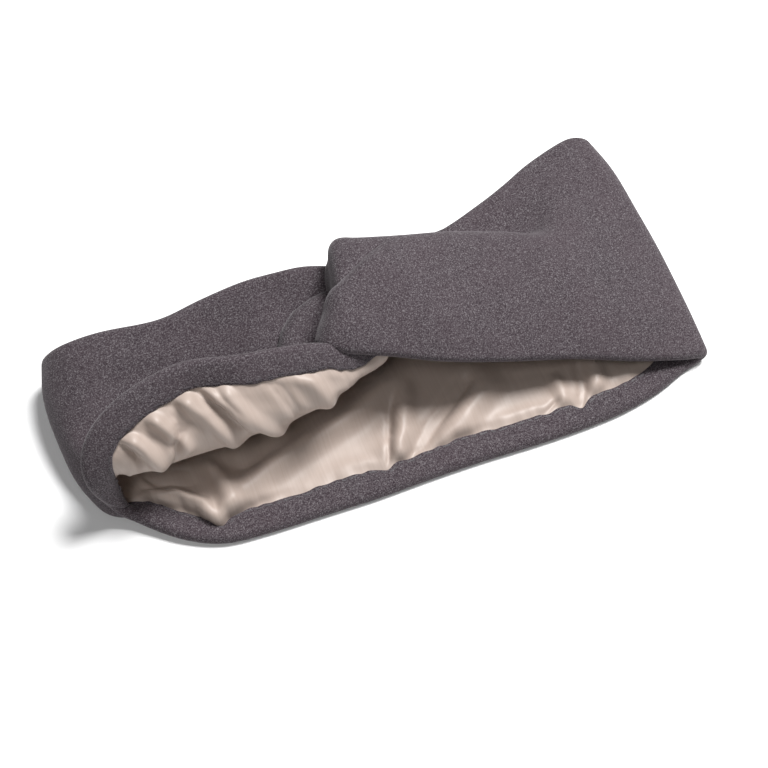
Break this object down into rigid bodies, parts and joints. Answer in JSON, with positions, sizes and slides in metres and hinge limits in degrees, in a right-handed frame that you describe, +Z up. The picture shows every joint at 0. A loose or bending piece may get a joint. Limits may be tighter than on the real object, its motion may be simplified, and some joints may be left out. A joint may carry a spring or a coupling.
{
  "type": "spa headband",
  "caption": "Twisted fabric headband lying flattened, near rim lifted, with knit outside, satin lining, turned hems and a knot at the front.",
  "frame": {"origin": "underside of the back half at the centre-back seam, on the surface it rests on", "axes": "+X along the flattened length towards the flat folded end, +Y across the band to its far rim, +Z up"},
  "size_m": [0.2101, 0.0972, 0.0475],
  "materials": {
    "heather_knit": "brushed heather knit, matte",
    "satin_lining": "satin with fine lengthwise ribs, soft sheen",
    "elastic": "woven elastic tape, matte",
    "thread": "polyester sewing thread"
  },
  "bodies": {
    "back_half": {"back_far_elastic": "elastic", "back_far_hem": "heather_knit", "back_far_stitches": "thread", "back_lining": "satin_lining", "back_near_elastic": "elastic", "back_near_hem": "heather_knit", "back_near_stitches": "thread", "back_outer": "heather_knit", "centre_back_seam": "satin_lining"},
    "front_half": {"knot_left_turn": "heather_knit", "knot_right_turn": "heather_knit", "knot_tacks": "thread", "left_far_elastic": "elastic", "left_far_hem": "heather_knit", "left_far_stitches": "thread", "left_lining": "satin_lining", "left_near_elastic": "elastic", "left_near_hem": "heather_knit", "left_near_stitches": "thread", "left_outer": "heather_knit", "right_far_elastic": "elastic", "right_far_hem": "heather_knit", "right_far_stitches": "thread", "right_lining": "satin_lining", "right_near_elastic": "elastic", "right_near_hem": "heather_knit", "right_near_stitches": "thread", "right_outer": "heather_knit"}
  },
  "joints": [
    {"name": "mouth_open", "type": "hinge", "parent": "back_half", "child": "front_half", "pos_m": [0.111, 0, 0.004], "axis": [0, 1, 0], "range_deg": [0, 8]}
  ]
}
